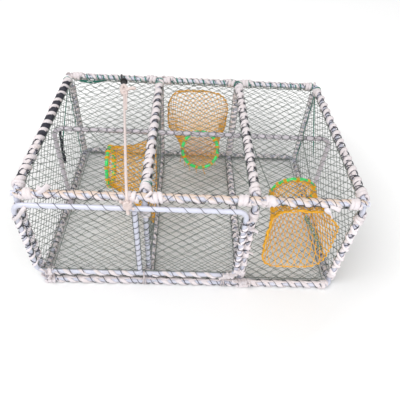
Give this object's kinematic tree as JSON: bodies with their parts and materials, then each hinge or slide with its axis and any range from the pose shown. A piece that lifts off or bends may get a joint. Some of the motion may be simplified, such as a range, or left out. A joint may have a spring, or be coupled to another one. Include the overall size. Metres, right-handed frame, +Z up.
{
  "type": "lobster trap",
  "caption": "Wire-framed box trap with netted sides, ringed net funnels, wound rods, and a netted front door held shut by an elastic cord and hook.",
  "frame": {"origin": "on the ground under the centre of the base frame", "axes": "+X to the right along the trap, -Y the front with the door, +Z up"},
  "size_m": [0.9266, 0.6765, 0.385],
  "materials": {
    "rod": "steel rod in a pale smooth plastic sheath",
    "wrap": "flat laid cord, matte",
    "net": "knotted braided twine, matte",
    "funnel": "knotted braided twine, matte",
    "stay": "twisted twine, matte",
    "ring": "moulded, smooth",
    "cord": "braided sleeve over rubber",
    "hook": "moulded, smooth"
  },
  "bodies": {
    "frame": {"back_entrance_funnel": "funnel", "back_entrance_ring": "ring", "back_entrance_stays": "stay", "back_net_left": "net", "back_net_middle": "net", "back_net_right": "net", "base_frame": "rod", "end_hoop_left": "rod", "end_hoop_right": "rod", "end_net_left": "net", "end_net_right": "net", "entrance_bar": "rod", "entrance_hoop": "rod", "floor_net_left": "net", "floor_net_middle": "net", "floor_net_right": "net", "front_entrance_funnel": "funnel", "front_entrance_ring": "ring", "front_entrance_stays": "stay", "front_net_right": "net", "middle_hoop": "rod", "parlour_bar": "rod", "parlour_entrance_funnel": "funnel", "parlour_entrance_ring": "ring", "parlour_entrance_stays": "stay", "parlour_hoop": "rod", "partition_net": "net", "top_net_left": "net", "top_net_middle": "net", "top_net_right": "net", "top_rail_back": "rod", "top_rail_front": "rod", "wrap_base_back": "wrap", "wrap_base_front": "wrap", "wrap_base_left": "wrap", "wrap_base_right": "wrap", "wrap_end_hoop_left": "wrap", "wrap_end_hoop_right": "wrap", "wrap_entrance_bar": "wrap", "wrap_entrance_hoop": "wrap", "wrap_parlour_bar": "wrap", "wrap_parlour_hoop": "wrap", "wrap_posts_back": "wrap", "wrap_posts_front": "wrap", "wrap_top_back": "wrap", "wrap_top_front": "wrap"},
    "door": {"door_frame": "rod", "door_net_left": "net", "door_net_right": "net", "door_stiffener": "rod", "wrap_door_bottom": "wrap", "hinge_ties": "stay"},
    "closing_cord_body": {"closing_cord": "cord", "closing_knot": "cord", "closing_hook": "hook"}
  },
  "joints": [
    {"name": "door_hinge", "type": "hinge", "parent": "frame", "child": "door", "pos_m": [0, -0.324, 0.0128], "axis": [1, 0, 0], "range_deg": [0, 88]},
    {"name": "cord_swing", "type": "hinge", "parent": "door", "child": "closing_cord_body", "pos_m": [0, -0.324, 0.33455], "axis": [1, 0, 0], "range_deg": [0, 50]}
  ]
}
